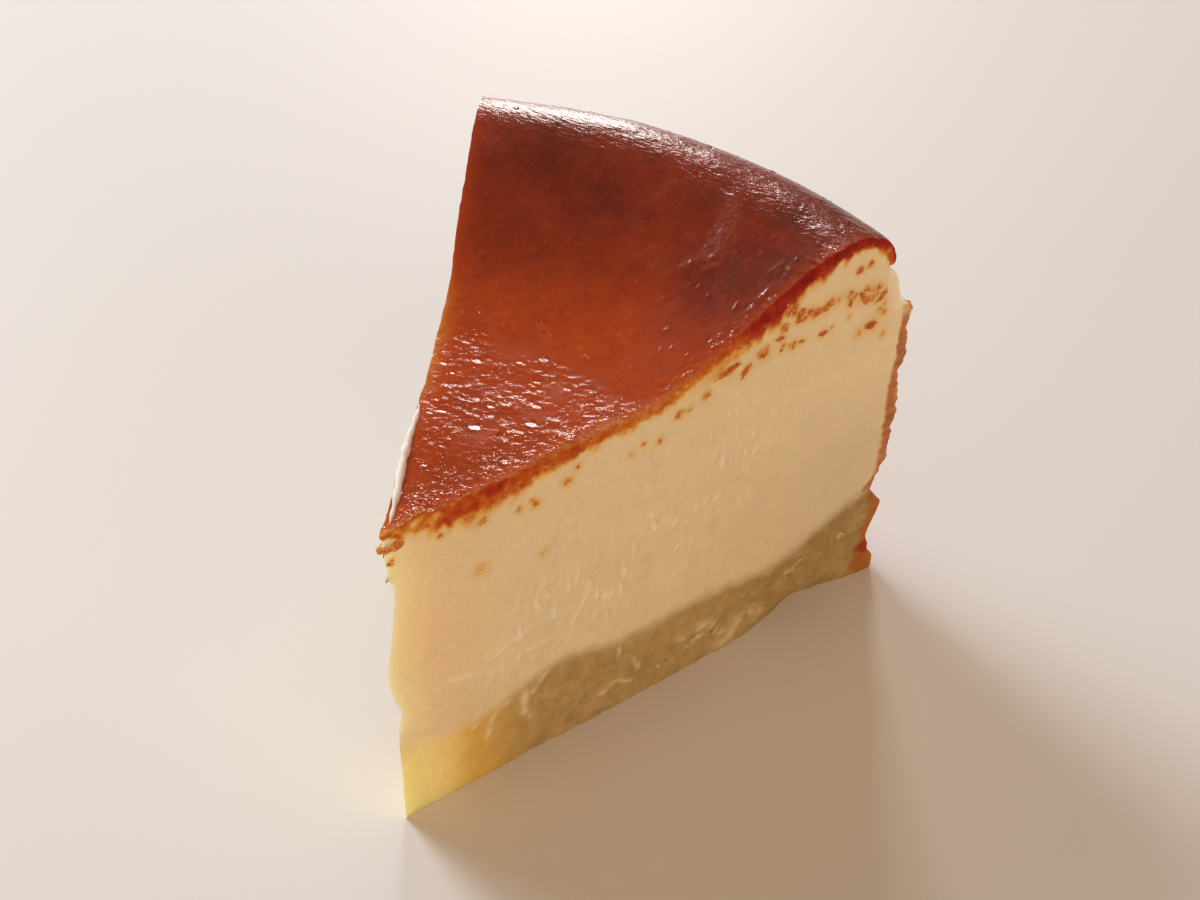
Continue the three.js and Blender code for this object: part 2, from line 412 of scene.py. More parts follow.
def base_crumb():
    """Moist khaki crumb with paler grains, cream smeared over its top and a browned outer edge."""
    material = new_material("base crumb")
    coarse = speckle(material, 2.6, 3.0)
    fine = speckle(material, 0.7, 3.0)
    # The crumb is darker towards the rim
    moist = sum_of(material, value_of(material, "moist"), -0.16, -0.1)
    mixed = sum_of(material, fine, 0.45, sum_of(material, coarse, 0.75, moist))
    crumb = ramp(material, mixed, [(0.25, KHAKI_DARK), (0.5, KHAKI), (0.78, KHAKI_PALE)])
    creamed = blend(material, value_of(material, "cream"), painted_tip_glow(material, crumb), (*CREAM, 1.0))
    baked = sum_of(material, coarse, 0.8, sum_of(material, value_of(material, "char"), -0.5, 0.2))
    edge = ramp(material, baked, [(0.3, BAKED_RED), (0.62, BAKED_ORANGE)])
    colour = blend(material, value_of(material, "browning"), creamed, edge)
    return surface(
        material,
        {
            "Base Color": colour,
            "Roughness": 0.55,
            "Specular IOR Level": 0.08,
            "Normal": bump(material, fine, 0.16, bump(material, coarse, 0.2)),
            "Subsurface Weight": sum_of(material, value_of(material, "deep"), 0.45, 0.0),
            "Subsurface Radius": (1.0, 0.6, 0.25),
            "Subsurface Scale": sum_of(material, value_of(material, "tip"), 3.0 * MM, 1.5 * MM),
        },
    )


base_shares = np.linspace(0.0, 1.0, BASE_COLUMNS + 1)
base_rows = np.linspace(0.0, 1.0, BASE_ROWS + 1)
base_bottom = np.stack([base_shares * BASE_FOOT_RADIUS, 0 * base_shares], axis=-1)
base_top = np.stack([base_shares * SEAM_RADIUS, seam_height(base_shares * SEAM_RADIUS)], axis=-1)
base_wall = smooth_line(BASE_WALL, base_rows)
base_pull = smoothstep(base_shares * CAKE_RADIUS, BASE_PULL_RADIUS, CAKE_RADIUS)
base_section = section(base_bottom, base_top, base_wall, base_rows, base_pull)

column, turn, row, faces = slice_block(BASE_COLUMNS, BASE_TURNS, BASE_ROWS, BASE_COLUMNS, BASE_COLUMNS)
radius, height = base_section[column, row].T
inset = base_wall[row, 0] - radius
solid = place(radius, height, turn, 0.0)
right_cut = turn > NEAR_CUT
crags = layered(solid, BASE_CRAGS) - BASE_CRAG_DROP
lifted = smoothstep(height, 0.0, 2.0)
height = height + seam_wave(radius, turn) * base_rows[row]
radius = radius + crags * np.exp(-inset / CRAG_REACH) * lifted
below_seam = seam_height(radius) + seam_wave(radius, turn) - height
crumb = layered(solid, BASE_CRUMB) * smoothstep(below_seam, 0.0, 2.0) * smoothstep(radius, 0.0, 3.0)
broken = np.clip(0.75 + 0.9 * grain(solid, 1.5, 16), 0.0, 1.0) * right_cut
strands = along_lines(radius, height, CREAM_STRANDS) * broken
uneven = np.clip(0.75 + 0.9 * grain(solid, 1.1, 19), 0.0, 1.0) * right_cut
lumpy = along_lines(radius, height, PALE_LUMPS) * uneven
wander = knife_wander(radius, height, turn) + crumb
wander = wander + STRAND_HEIGHT * strands + PALE_LUMP_HEIGHT * lumpy
blurred = creamed_share(-below_seam, solid)
browned_edge = inset + 0.8 * grain(solid, 2.0, 27) - humps(height, BROWNED_REACH)
patchy = 0.45 * smoothstep(grain(solid, (5.0, 5.0, 3.0), 17), 0.0, 0.4)
charred = np.maximum(patchy, smoothstep(turn, NEAR_CUT, 0.97))
charred = charred * hump(height + 0.9 * grain(solid, 6.0, 18) * (turn < NEAR_CUT), WAIST_HEIGHT, 1.2)
pressed_base = make_piece(
    "pressed_base",
    place(radius, height, turn, wander),
    faces,
    base_crumb(),
    cream=np.maximum(np.maximum(blurred, 0.80 * strands), 0.60 * lumpy),
    browning=1 - smoothstep(browned_edge, -0.2, 1.6),
    char=charred * (1 - smoothstep(inset + 0.5 * grain(solid, 1.2, 20), 1.2, 3.0)),
    tip=tip_share(radius, solid),
    # Darker towards the rim
    moist=smoothstep(radius, 46.0, 62.0),
    deep=smoothstep(below_seam, 0.5, 3.5),
)
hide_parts("base_layer")


# The baked cream
# Cream cheese baked until it just holds: pale and moist at the cuts, where the knife left pores and short
# curls, with a rough browned crust on its side and a bare pale band between that crust and the skin.
CENTRE_HEIGHT = 49.6
CREST_HEIGHT = 60.7
CREST_RADIUS = 64.0
DISH_RADIUS = 33.0
LIP_RADIUS = 71.2
LIP_HEIGHT = 55.0
CRUST_TOP_HEIGHT = 46.6
SKIN_LAP = 0.9
# The bare band from the skin's lip down to the crust: radius and height
BAND = [
    (LIP_RADIUS - SKIN_LAP, LIP_HEIGHT),
    (70.45, 54.3),
    (71.5, 53.0),
    (72.2, 51.2),
    (72.7, 49.2),
    (73.4, 47.8),
    (74.5, 47.3),
    (CAKE_RADIUS, CRUST_TOP_HEIGHT),
]
# The cream's side from the seam up to the top of the crust: radius and height
CREAM_WALL = [
    (SEAM_RADIUS, BASE_EDGE_HEIGHT),
    (74.6, 22.0),
    (CAKE_RADIUS, 34.3),
    (CAKE_RADIUS, CRUST_TOP_HEIGHT),
]
CREAM_COLUMNS = 310
CREAM_TURNS = 140
CREAM_COARSE_ROWS = 78
CREAM_FINE_ROWS = 22
CREAM_FINE_SHARE = 0.85
CREAM_PULL_RADIUS = 60.0
DISH_STEPS = 200
SHOULDER_STEPS = 40
BAND_STEPS = 60
CURL_LEAN = 0.12
# Heights of what the knife raised on a cut, and depths of what it opened
CURL_HEIGHT = 0.40
STROKE_HEIGHT = 0.28
DRAG_HEIGHT = 0.13
RAG_HEIGHT = 0.16
DIMPLE_DEPTH = 0.15
PORE_DEPTH = 0.18
# How far a cut stands back behind the torn edge of the skin
SKIN_RECESS = 0.3
BAND_FOLD = 0.15
# Layers of noise: depth, size of the lumps and seed of each
CRUST_CRAGS = [(0.7, (4.5, 4.5, 5.5), 41), (0.44, 1.8, 42), (0.40, 0.9, 43)]
CRUST_CRAG_DROP = 0.35
CRUST_EDGE = [(0.7, (3.5, 3.5, 2.6), 46), (0.4, 0.9, 47)]
SKIN_RAGS = [(0.9, (2.2, 2.2, 6.0), 31), (0.65, (0.9, 0.9, 1.6), 32)]
GOLD_PATCHES = [(0.20, 3.0, 77), (0.14, 1.1, 78)]
# Strokes the knife left in the cream low on the right cut: places as radius and height, and half width
CREAM_STROKES = [
    ([(7.3, 21.0), (9.6, 20.6), (11.9, 19.9), (14.7, 18.0)], 0.50),
    ([(13.4, 21.6), (16.7, 23.0), (20.5, 23.8), (24.8, 23.2)], 0.42),
    ([(24.3, 16.9), (25.0, 21.0), (26.7, 24.1), (27.2, 25.8)], 0.44),
    ([(18.0, 19.7), (20.4, 19.7), (22.9, 18.6)], 0.40),
]
# The larger browned flecks dragged into the cream: radius, height, half length, half width, slant in
# degrees and browning
LARGE_FLECKS = [
    (65.5, 56.0, 0.42, 0.34, -45, 0.42),
    (67.2, 56.3, 0.64, 0.20, 50, 0.40),
    (66.6, 51.5, 1.05, 0.28, -65, 0.44),
    (69.6, 50.5, 1.05, 0.32, 40, 0.40),
    (68.0, 50.9, 0.70, 0.45, 10, 0.33),
    (68.0, 51.9, 0.45, 0.25, 85, 0.38),
    (64.6, 51.7, 0.74, 0.25, 85, 0.40),
    (57.4, 52.7, 1.10, 0.24, 8, 0.38),
    (59.2, 52.5, 1.00, 0.38, 0, 0.38),
    (60.9, 52.8, 0.90, 0.42, 8, 0.36),
    (62.6, 52.9, 0.55, 0.28, 0, 0.24),
    (68.4, 46.5, 0.90, 0.36, 0, 0.50),
    (60.6, 48.7, 0.65, 0.30, -10, 0.42),
    (54.3, 52.6, 0.60, 0.45, -50, 0.36),
    (53.9, 51.2, 0.65, 0.28, -15, 0.44),
    (51.5, 49.9, 0.80, 0.46, 5, 0.40),
    (46.5, 49.7, 1.60, 0.36, 20, 0.46),
    (49.0, 48.4, 1.10, 0.28, 60, 0.42),
    (43.5, 47.3, 0.65, 0.34, 10, 0.32),
    (39.5, 46.5, 0.65, 0.32, 10, 0.32),
    (36.9, 43.7, 0.40, 0.20, -90, 0.34),
    (23.9, 44.4, 0.50, 0.30, 0, 0.34),
    (12.4, 44.9, 0.70, 0.42, 5, 0.32),
    (12.2, 36.8, 0.95, 0.28, 5, 0.20),
    (7.1, 45.2, 0.40, 0.24, -5, 0.32),
]
# Rows of smaller flecks: both ends as radius and height, then count, half length and browning
FLECK_ROWS = [
    ((55.0, 54.8), (58.5, 52.8), 10, 0.46, 0.42),
    ((61.5, 52.9), (68.5, 51.6), 5, 0.50, 0.36),
    ((53.5, 50.6), (58.5, 48.4), 7, 0.28, 0.34),
    ((62.0, 49.2), (70.5, 48.0), 5, 0.26, 0.30),
    ((66.0, 45.4), (70.0, 44.2), 2, 0.38, 0.28),
    ((31.0, 43.5), (42.5, 46.4), 4, 0.24, 0.28),
    ((16.0, 43.6), (26.0, 45.5), 5, 0.27, 0.33),
    ((0.2, 45.0), (2.0, 43.4), 3, 0.26, 0.36),
    ((19.0, 32.5), (21.0, 35.0), 2, 0.22, 0.18),
]
FLECK_SCATTER = 0.5
FLECK_STRAY = 1.1
FLECK_END_RADIUS = 70.4
# How flecks are scaled along, across and outwards
FLECK_SCALE = (1.3, 1.65, 0.24)


def top_height(radius):
    """Height of the cake's top: a flat dish with a smooth step up to the crest near the rim."""
    rise = smoothstep(radius, DISH_RADIUS, CREST_RADIUS)
    return CENTRE_HEIGHT + (CREST_HEIGHT - CENTRE_HEIGHT) * rise


def top_line(end_angle, inset):
    """Section of the top from the axis to the crest and down the shoulder on an ellipse, less an inset."""
    flat = np.linspace(0.0, CREST_RADIUS, DISH_STEPS)
    angle = np.linspace(0.0, end_angle, SHOULDER_STEPS)
    dish = np.stack([flat, top_height(flat) - inset], axis=-1)
    across = CREST_RADIUS + (LIP_RADIUS - CREST_RADIUS - inset) * np.sin(angle)
    up = LIP_HEIGHT + (CREST_HEIGHT - LIP_HEIGHT - inset) * np.cos(angle)
    return np.vstack([dish, np.stack([across, up], axis=-1)[1:]])


SKIN_DEPTH = 2.2
LEAST_SKIN_DEPTH = 0.6
# Places where the browned edge reaches further or less far down a cut: radius, spread and extra depth
SKIN_DEPTH_PLACES = [
    (0.0, 3.5, -1.1),
    (11.0, 7.0, 1.6),
    (34.0, 8.0, -0.1),
    (53.0, 5.0, 1.4),
    (68.0, 4.0, -0.6),
]
# Browning of a cut just below the skin, and where it is stronger or weaker: radius, spread and change
TORN_TONE = 0.46
TORN_TONE_PLACES = [(0.0, 4.0, -0.14), (15.0, 10.0, 0.13), (35.0, 9.0, -0.05)]
# Where the patches of gold in it are fainter or stronger: radius, spread and change
GOLD_PATCH_PLACES = [(38.0, 12.0, -0.5), (5.0, 9.0, 0.7)]
# Where the cream under the skin is golden further down
GOLD_RADIUS = 46.5
GOLD_SPREAD = 5.0


def browned_depth(radius, solid):
    """How far the browning reaches below the top: some thicker and thinner places, made ragged by noise."""
    depth = SKIN_DEPTH + humps(radius, SKIN_DEPTH_PLACES) + layered(solid, SKIN_RAGS)
    return np.maximum(depth, LEAST_SKIN_DEPTH)


def torn_browning(radius, depth, browned, solid):
    """Browning of a cut below the top: even down to half the browned depth, then fading out. It is darkest
    under the rim, and patches of gold come from noise."""
    core = TORN_TONE + humps(radius, TORN_TONE_PLACES) + 0.34 * smoothstep(radius, 44.0, 53.0)
    # Lighter at the lip's end: a painted glow where light shines through the thin lip
    core = core - 0.26 * smoothstep(radius, 68.0, 70.5)
    core = core + layered(solid, GOLD_PATCHES) * (1 + humps(radius, GOLD_PATCH_PLACES))
    return core * (1 - smoothstep(depth / browned, 0.50, 1.55))


def along_rows(rows, scatter, rng):
    """Places strayed at random along rows, each row given by two ends and a count, and each place's row."""
    first, last, count = (np.array(part, float) for part in zip(*(row[:3] for row in rows)))
    which = np.repeat(np.arange(len(rows)), count.astype(int))
    share = rng.uniform(size=(len(which), 1))
    stray = rng.normal(scale=scatter, size=(len(which), 2))
    return first[which] * (1 - share) + last[which] * share + stray, which


def fleck_places(side):
    """Places, three half sizes, slants and browning of the large flecks and of the rows of small ones on
    the right cut (side 1), or the same flecks strayed at random on the left cut (side -1)."""
    rng = np.random.default_rng(81)
    small_spots, which = along_rows(FLECK_ROWS, FLECK_SCATTER, rng)
    small_length, small_browning = np.array([row[3:] for row in FLECK_ROWS])[which].T
    small_length = small_length * rng.uniform(0.7, 1.4, len(which))
    small_width = small_length * rng.uniform(0.5, 0.9, len(which))
    small_slant = rng.normal(10.0, 35.0, len(which))
    small_flecks = np.column_stack([small_spots, small_length, small_width, small_slant, small_browning])
    radius, height, length, width, slant, browning = np.vstack([LARGE_FLECKS, small_flecks]).T
    stray = rng.normal(scale=FLECK_STRAY, size=(len(radius), 2)) * (side < 0)
    spots = np.stack([np.minimum(radius + stray[:, 0], FLECK_END_RADIUS), height + stray[:, 1]], axis=-1)
    sizes = np.stack([length, width, width], axis=-1) * FLECK_SCALE
    return spots, sizes, np.radians(slant), browning


BROWNING_STOPS = [
    (0.00, CREAM),
    (0.16, (0.86, 0.62, 0.27)),
    (0.30, (0.78, 0.38, 0.075)),
    (0.44, (0.58, 0.15, 0.020)),
    (0.58, (0.48, 0.061, 0.0062)),
    (0.74, (0.325, 0.036, 0.0045)),
    (0.88, (0.205, 0.018, 0.0036)),
    (1.00, (0.10, 0.009, 0.0030)),
]
TORN_STOPS = BROWNING_STOPS[:4] + [
    (0.58, (0.46, 0.058, 0.014)),
    (0.74, (0.33, 0.020, 0.009)),
    (1.00, (0.16, 0.009, 0.004)),
]
# Colour of the painted highlight on the raised curls and strokes and on the bare band lit from behind
PAINTED_HIGHLIGHT_CREAM = (0.92, 0.83, 0.66)
CRUST_STOPS = [
    (0.00, CREAM),
    (0.30, (0.78, 0.41, 0.11)),
    (0.60, (0.54, 0.160, 0.032)),
    (1.00, (0.26, 0.048, 0.009)),
]


def baked_cream():
    """Pale moist cream that browns through gold and orange to red-brown under the skin and at the side."""
    material = new_material("baked cream")
    fine = speckle(material, 0.5, 3.0)
    patches = speckle(material, 7.0, 2.0)
    skin = value_of(material, "skin")
    speckled = sum_of(material, sum_of(material, fine, 1.0, -0.5), skin, skin)
    browned = ramp(material, speckled, TORN_STOPS)
    crust = value_of(material, "crust")
    mottled = sum_of(material, speckle(material, 1.5, 5.0), 1.6, sum_of(material, patches, 0.9, -1.25))
    baked = sum_of(material, sum_of(material, mottled, 1.0, 0.74), crust, 0.0)
    crusted = ramp(material, baked, CRUST_STOPS)
    crumb = painted_tip_glow(material, (*KHAKI, 1.0))
    cream = blend(material, crust, browned, crusted)
    seamed = blend(material, value_of(material, "base"), cream, crumb)
    mottle = sum_of(material, speckle(material, 1.6, 3.0), 0.10, sum_of(material, patches, 0.12, 0.87))
    # Painted light and shade: lighter on the raised curls, darker in dimples and pores, a glow at the
    # see-through tip and shade low on the outer cut
    light = sum_of(material, value_of(material, "curl"), 0.13, mottle)
    # Painted highlight: paler on the raised curls and strokes and on the bare band that the light from
    # behind catches
    paled = blend(material, value_of(material, "pale"), seamed, (*PAINTED_HIGHLIGHT_CREAM, 1.0))
    colour = add(material, "ShaderNodeHueSaturation", {"Color": paled, "Value": light}).outputs["Color"]
    uneven = bump(material, speckle(material, 1.1, 2.0), 0.16)
    return surface(
        material,
        {
            "Base Color": colour,
            "Roughness": sum_of(material, crust, 0.2, 0.42),
            "Specular IOR Level": 0.12,
            "Normal": bump(material, fine, 0.16, uneven),
            "Subsurface Weight": sum_of(material, value_of(material, "deep"), 0.5, 0.0),
            "Subsurface Radius": (1.0, 0.65, 0.32),
            "Subsurface Scale": sum_of(material, value_of(material, "tip"), 4.0 * MM, 1.6 * MM),
        },
    )


band_line = smooth_line(BAND, np.linspace(0.0, 1.0, BAND_STEPS))
cream_line = np.vstack([top_line(np.pi / 2, SKIN_LAP)[:-1], band_line])
cream_top = at_shares(cream_line, np.linspace(0.0, 1.0, CREAM_COLUMNS + 1))
band_column = int(np.argmax(cream_top[:, 0] > CREST_RADIUS))
rim_share = smoothstep(cream_top[:, 0], CREST_RADIUS, CAKE_RADIUS)
under = cream_top[:, 0] - (CAKE_RADIUS - SEAM_RADIUS) * rim_share
cream_bottom = np.stack([under, seam_height(under)], axis=-1)
coarse_rows = np.linspace(0.0, CREAM_FINE_SHARE, CREAM_COARSE_ROWS, endpoint=False)
cream_rows = np.concatenate([coarse_rows, np.linspace(CREAM_FINE_SHARE, 1.0, CREAM_FINE_ROWS + 1)])
cream_wall = smooth_line(CREAM_WALL, cream_rows)
cream_pull = smoothstep(cream_top[:, 0], CREAM_PULL_RADIUS, CAKE_RADIUS)
cream_section = section(cream_bottom, cream_top, cream_wall, cream_rows, cream_pull)

last_row = len(cream_rows) - 1
column, turn, row, faces = slice_block(CREAM_COLUMNS, CREAM_TURNS, last_row, CREAM_COLUMNS, band_column)
radius, height = cream_section[column, row].T
inset = np.linalg.norm(cream_section[column, row] - cream_wall[row], axis=-1)
depth = np.linalg.norm(cream_section[column, row] - cream_top[column], axis=-1) + SKIN_LAP
solid = place(radius, height, turn, 0.0)
under_skin = smoothstep(cream_top[column, 1], LIP_HEIGHT - 0.4, LIP_HEIGHT + 0.4)
under_skin = np.maximum(under_skin, cream_top[column, 0] < CREST_RADIUS)

on_wall = np.exp(-inset / CRAG_REACH) * smoothstep(height, BASE_EDGE_HEIGHT, BASE_EDGE_HEIGHT + 3.0)
crags = layered(solid, CRUST_CRAGS) - CRUST_CRAG_DROP
folds = BAND_FOLD * grain(solid, (9.0, 9.0, 1.6), 44)
above_crust = smoothstep(height + 0.8 * grain(solid, 2.0, 45) - CRUST_TOP_HEIGHT, 0.4, 1.2)
above_seam = height - seam_height(radius)
height = height + seam_wave(radius, turn) * (1 - cream_rows[row])
radius = radius + on_wall * (crags * (1 - above_crust) + folds * above_crust)

fleck_halo = 0 * radius
for side in (1.0, -1.0):
    spots, sizes = fleck_places(side)[:2]
    here = np.flatnonzero(turn * side > 0.99)
    gap = np.hypot(radius[here, None] - spots[:, 0], height[here, None] - spots[:, 1])
    fleck_halo[here] = hump(gap, 0.0, 0.3 + 1.2 * np.sqrt(sizes[:, 0] * sizes[:, 1])).max(axis=1)

leaning = np.stack([radius - CURL_LEAN * height, height, 30.0 * np.sign(turn)], axis=-1)
curl_zone = smoothstep(radius, 8.0, 17.0) * (1 - smoothstep(radius, 48.0, 62.0))
curl_zone = curl_zone * hump(height, 13.0 + 0.45 * radius, 9.0)
curl_zone = curl_zone * smoothstep(grain(leaning, (5.0, 6.0, 5.0), 56), -0.35, 0.2)
meander = 0.45 * grain(solid, 2.0, 58)[:, None] * (1.0, 0.0, 0.0)
curls = smoothstep(grain(leaning + meander, (0.8, 2.6, 5.0), 51), 0.22, 0.44) * curl_zone
strokes = along_lines(radius, height, CREAM_STROKES) * (turn > NEAR_CUT)
strokes = strokes * np.clip(0.85 + 0.8 * grain(solid, 2.2, 57), 0.0, 1.0)
drags = grain(leaning, (2.4, 7.0, 5.0), 52) * smoothstep(depth, 3.0, 9.0)
dimple_zone = smoothstep(radius, 8.0, 20.0) * (1 - 0.7 * smoothstep(radius, 48.0, 58.0))
dimples = smoothstep(grain(solid, (1.2, 1.2, 1.6), 53), 0.25, 0.60) * dimple_zone
pores = smoothstep(grain(solid, (0.8, 0.8, 1.0), 55), 0.62, 0.80) * dimple_zone
ragged = RAG_HEIGHT * grain(solid, 0.9, 54) * np.exp(-depth / 3.0)
relief = CURL_HEIGHT * curls + STROKE_HEIGHT * strokes + DRAG_HEIGHT * drags
relief = relief - DIMPLE_DEPTH * dimples - PORE_DEPTH * pores + ragged
relief = relief * smoothstep(above_seam, 0.0, 2.0) * smoothstep(radius, 0.0, 3.0) * (1 - fleck_halo)
browned = browned_depth(radius, solid)
behind = under_skin * (1 - smoothstep(depth / browned, 0.55, 0.85)) * smoothstep(radius, 0.0, 3.0)
wander = knife_wander(radius, height, turn) + relief - SKIN_RECESS * behind

under_edge = under_skin * torn_browning(radius, depth, browned, solid)
crust_inset = inset + layered(solid, CRUST_EDGE) + 0.8 * (1 - smoothstep(height, 19.0, 29.0))
crusted = 1 - smoothstep(crust_inset, 1.6, 2.6)
crusted = crusted * (1 - 0.18 * smoothstep(grain(solid, (7.0, 7.0, 3.4), 48), 0.0, 0.5))
crusted = np.minimum(1.05 * crusted, 0.88) * (1 - 0.45 * hump(height, CRUST_TOP_HEIGHT, 1.2))
gold = 0.30 * hump(radius, GOLD_RADIUS, GOLD_SPREAD)
gold = gold * (1 - smoothstep(depth + grain(solid, 1.5, 33), 3.0, 5.0))
# Painted shade: the cut is darker low down towards the rim
shaded = 0.9 * smoothstep(radius, 38.0, 66.0) * (1 - smoothstep(height, 20.0, 42.0))
# Painted highlight on the bare band and the cut's edge beside it, where light from behind catches them
band_edge_highlight = (1 - under_skin) * above_crust * np.exp(-(depth - SKIN_LAP) / 3.6)
cream_body = make_piece(
    "baked_cream",
    place(radius, height, turn, wander),
    faces,
    baked_cream(),
    # The small bell near the tip is a painted golden glow of light shining through; the rest is real
    # browning
    skin=np.maximum.reduce([under_edge, gold, 0.26 * fleck_halo, 0.040 * hump(radius, 6.5, 5.5)]),
    crust=(1 - above_crust) * crusted,
    base=1 - creamed_share(above_seam, solid),
    # Painted highlight on curls, painted shade in dimples and pores, a painted glow at the tip, less the
    # painted shade above
    curl=0.4 * curls - 0.25 * dimples - 0.5 * pores + 0.9 * hump(radius, 0.0, 6.0) - shaded,
    # Painted highlight on the curls, the strokes and the bare band
    pale=np.clip(0.95 * curls + 0.95 * strokes + 1.1 * band_edge_highlight, 0.0, 1.0) * (1 - under_edge),
    deep=smoothstep(above_seam, 0.5, 4.0) * (1 - smoothstep(under_edge, 0.1, 0.4)),
    tip=tip_share(radius, solid),
)
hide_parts("cheesecake")


# The browned skin
# The top of the cake, caramelised into a thin glossy skin. It wrinkles near the tip, where it sank, and
# over the shoulder. Its edges at the cuts are torn and crumbly, and at the rim it ends in a lip that
# stands clear.
SKIN_TIP_COLUMNS = 250
SKIN_RIM_COLUMNS = 150
SKIN_TIP_SHARE = 0.5
SKIN_TURNS = 200
SKIN_ROWS = 8
LIP_END_ANGLE = np.radians(95.0)
LIP_THICKNESS = 1.35
SKIN_TIP_OVERHANG = 0.5
BLISTER_RADIUS = 54.4
BLISTER_TURN = 0.27
BLISTER_SIZE = 5.5
BLISTER_HEIGHT = 0.12
BLISTER_LIT = np.array([0.97, 0.10, 0.0])
# Smooth islands among the wrinkles: radius, turn and size
SMOOTH_ISLANDS = [(18.0, 0.06, 2.6), (24.7, 0.38, 2.2), (29.7, 0.33, 2.0), (33.0, -0.3, 3.0)]
# Larger wet facets that lean back: radius, turn and half width
WET_FACETS = [
    (37.5, -0.18, 0.70),
    (29.5, -0.56, 0.60),
    (31.2, -0.20, 0.45),
    (33.0, -0.03, 0.60),
    (23.0, -0.13, 0.40),
    (25.9, 0.29, 0.55),
    (19.1, -0.11, 0.70),
    (23.2, 0.44, 0.70),
    (16.9, 0.72, 0.60),
    (30.4, 0.36, 0.45),
    (26.8, -0.74, 0.35),
]
FACET_SLOPE = np.array([0.053, -0.215, 0.0])
PINHOLE_DEPTH = 0.18
DOT_HEIGHT = 0.10
EDGE_ROUNDING = 0.20
# Layers of noise: depth, size of the lumps and seed of each
SKIN_SWELL = [(0.30, 16.0, 67), (0.08, 5.0, 68)]
TORN_EDGE = [(0.28, 1.4, 70), (0.15, 0.7, 71)]
TORN_LIP = [(0.45, 1.6, 75), (0.4, 5.0, 76)]
# The wrinkles' own axes, and two sizes of wrinkle: depth, length and width of the facets, and seed
WRINKLE_AXES = np.array([(0.866, 0.5, 0.0), (-0.5, 0.866, 0.0), (0.0, 0.0, 1.0)])
WRINKLES = [(0.034, (1.05, 0.75), 65), (0.028, (0.55, 0.36), 66)]
CRACKLE_SIZE = 0.36
CRACKLE_DEPTH = 0.075
CRACKLE_TURN = np.radians(30.0)
CRACKLE_STRETCH = (1.6, 1.0, 1.0)
FOLD_SIZE = 0.5
FOLD_DEPTH = 0.12
FOLD_STRETCH = (0.35, 1.0, 1.0)
# Pink of the painted sheen on the crackled skin
SHEEN_PINK = (0.60, 0.22, 0.15)
# Browning of the dish, and how much darker the skin is towards the rim
DISH_TONE = 0.60
RIM_TONE = 0.25


def facets(points, size, seed):
    """Height of a crumpled skin, with a spread of 1: random heights on the corners of a lattice that slow
    noise bends, where each square is split into two flat triangles, by turns along either diagonal."""
    corners = np.random.default_rng(seed).normal(size=(NOISE_CELLS, NOISE_CELLS))
    bend = np.stack([grain(points, 2.2 * size[0], seed + axis) for axis in (1, 2)], axis=-1)
    scaled = points[:, :2] / size + 0.6 * bend
    cell = np.floor(scaled).astype(int)
    u, v = (scaled - cell).T
    first, second = cell.T % NOISE_CELLS
    next_first, next_second = (cell.T + 1) % NOISE_CELLS
    near, far = corners[first, second], corners[next_first, next_second]
    right, left = corners[next_first, second], corners[first, next_second]
    odd = (first + second) % 2 == 1
    u = np.where(odd, 1 - u, u)
    near, right = np.where(odd, right, near), np.where(odd, near, right)
    far, left = np.where(odd, left, far), np.where(odd, far, left)
    lower = near + u * (right - near) + v * (left - near)
    upper = far + (1 - u) * (left - far) + (1 - v) * (right - far)
    return np.where(u + v < 1, lower, upper)


def from_spot(flat, radius, turn):
    """The steps to points from a spot given by its radius and turn, seen from above."""
    return flat - place(np.array(radius), np.array(0.0), np.array(turn), 0.0)


def browned_skin():
    """Glossy caramel skin: red-brown towards the rim, orange in the dish and at torn edges."""
    material = new_material("browned skin")
    patches = speckle(material, 8.0, 4.0)
    mid = speckle(material, 1.7, 3.0)
    fine = speckle(material, 0.7, 3.0)
    tone = sum_of(material, fine, 0.16, sum_of(material, patches, 0.28, -0.28))
    tone = sum_of(material, mid, 0.14, tone)
    browning = sum_of(material, tone, 1.0, value_of(material, "browning"))
    # Painted sheen: a grainy pink over the skin where it would catch light
    grains = sum_of(material, speckle(material, 0.5, 2.0), 2.4, -0.8)
    dusty = sum_of(material, grains, value_of(material, "dusty"), 0.0)
    colour = blend(material, dusty, ramp(material, browning, BROWNING_STOPS), (*SHEEN_PINK, 1.0))
    where = add(material, "ShaderNodeTexCoord", {}).outputs["Object"]
    drawn = {"Vector": where, "Rotation": (0.0, 0.0, CRACKLE_TURN), "Scale": CRACKLE_STRETCH}
    drawn_out = add(material, "ShaderNodeMapping", drawn, vector_type="TEXTURE").outputs["Vector"]
    cells = {"Vector": drawn_out, "Scale": 1.0 / (CRACKLE_SIZE * MM)}
    cracks = add(material, "ShaderNodeTexVoronoi", cells, feature="DISTANCE_TO_EDGE").outputs["Distance"]
    crackle = bump(material, sum_of(material, cracks, value_of(material, "wrinkle"), 0.0), CRACKLE_DEPTH)
    folds = speckle(material, FOLD_SIZE, 2.0, FOLD_STRETCH)
    folds = sum_of(material, folds, value_of(material, "shoulder"), 0.0)
    folded = bump(material, folds, FOLD_DEPTH, crackle)
    return surface(
        material,
        {
            "Base Color": colour,
            "Roughness": sum_of(material, value_of(material, "gloss"), -0.12, 0.24),
            "Normal": bump(material, speckle(material, 0.4, 3.0), 0.025, folded),
            "Subsurface Weight": 0.12,
            "Subsurface Radius": (1.0, 0.3, 0.1),
            "Subsurface Scale": 1.2 * MM,
            "Specular IOR Level": 0.5,
        },
    )


